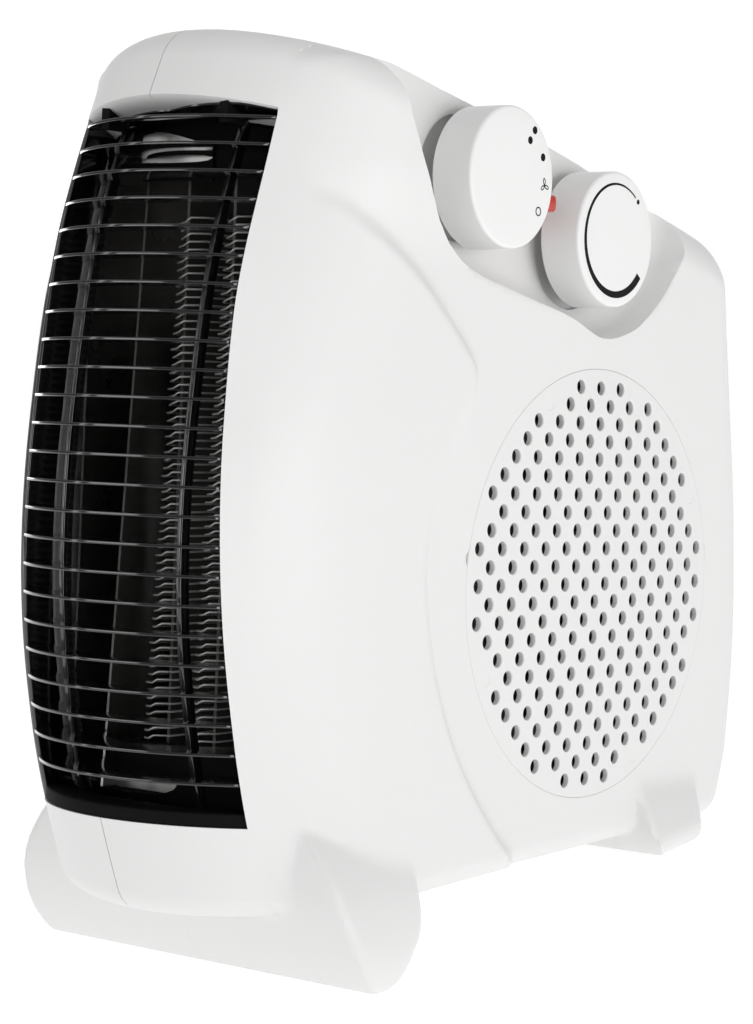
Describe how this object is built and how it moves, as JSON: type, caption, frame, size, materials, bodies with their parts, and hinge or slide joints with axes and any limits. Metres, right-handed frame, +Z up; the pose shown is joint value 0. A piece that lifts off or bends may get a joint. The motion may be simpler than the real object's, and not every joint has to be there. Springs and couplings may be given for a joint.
{
  "type": "fan heater",
  "caption": "Upright white fan heater with a curved black outlet grille, a round perforated side intake, two rotary knobs, a red pilot lamp and full-width flared feet.",
  "frame": {"origin": "centre of the bounding box's bottom face, on the ground between the feet", "axes": "+Z up, -Y the way the warm air leaves, +X the side with the intake and the knobs"},
  "size_m": [0.1246, 0.2579, 0.2564],
  "materials": {
    "white_plastic": "satin moulded",
    "black_plastic": "satin black",
    "dark_plastic": "moulded",
    "steel": "zinc plated",
    "lamination_steel": "stamped stack",
    "copper": "enamelled wire",
    "bronze": "sintered",
    "mica": "flaky board",
    "resistance_wire": "oxidised wire",
    "red_lens": "translucent",
    "lamp_glass": "clear",
    "control_body": "moulded",
    "rubber": "soft",
    "wire_sleeve": "insulated"
  },
  "bodies": {
    "casing": {"right_housing": "white_plastic", "left_housing": "white_plastic", "intake_grille": "white_plastic", "outlet_grille": "black_plastic", "fan_scroll": "dark_plastic", "stator_core": "lamination_steel", "motor_coil": "copper", "motor_front_bracket": "steel", "motor_rear_bracket": "steel", "front_bearing": "bronze", "rear_bearing": "bronze", "element_frame": "steel", "mica_board_low": "mica", "mica_board_high": "mica", "heating_coil_low": "resistance_wire", "heating_coil_high": "resistance_wire", "thermal_cutout": "control_body", "thermal_fuse": "control_body", "rotary_switch": "control_body", "thermostat": "control_body", "thermostat_bimetal": "bronze", "pilot_lens": "red_lens", "neon_lamp": "lamp_glass", "terminal_block": "control_body", "cord_gland": "rubber", "cord_clamp": "dark_plastic", "live_wire": "wire_sleeve", "neutral_wire": "wire_sleeve", "element_wire": "wire_sleeve", "housing_screws": "steel", "scroll_screws": "steel", "motor_screws": "steel", "clamp_screws": "steel", "element_screws": "steel"},
    "switch_dial": {"switch_knob": "white_plastic", "switch_spindle": "steel"},
    "thermostat_dial": {"thermostat_knob": "white_plastic", "thermostat_spindle": "steel"},
    "fan": {"impeller": "dark_plastic", "motor_shaft": "steel", "motor_rotor": "steel"}
  },
  "joints": [
    {"name": "switch_turn", "type": "hinge", "parent": "casing", "child": "switch_dial", "pos_m": [0.045, -0.00353, 0.21261], "axis": [1, 0, 0], "range_deg": [-59.2, 29.6]},
    {"name": "thermostat_turn", "type": "hinge", "parent": "casing", "child": "thermostat_dial", "pos_m": [0.045, 0.04798, 0.19197], "axis": [1, 0, 0], "range_deg": [-159, 116]},
    {"name": "fan_spin", "type": "hinge", "parent": "casing", "child": "fan", "pos_m": [0, 0.03412, 0.0904], "axis": [1, 0, 0], "continuous": true}
  ]
}
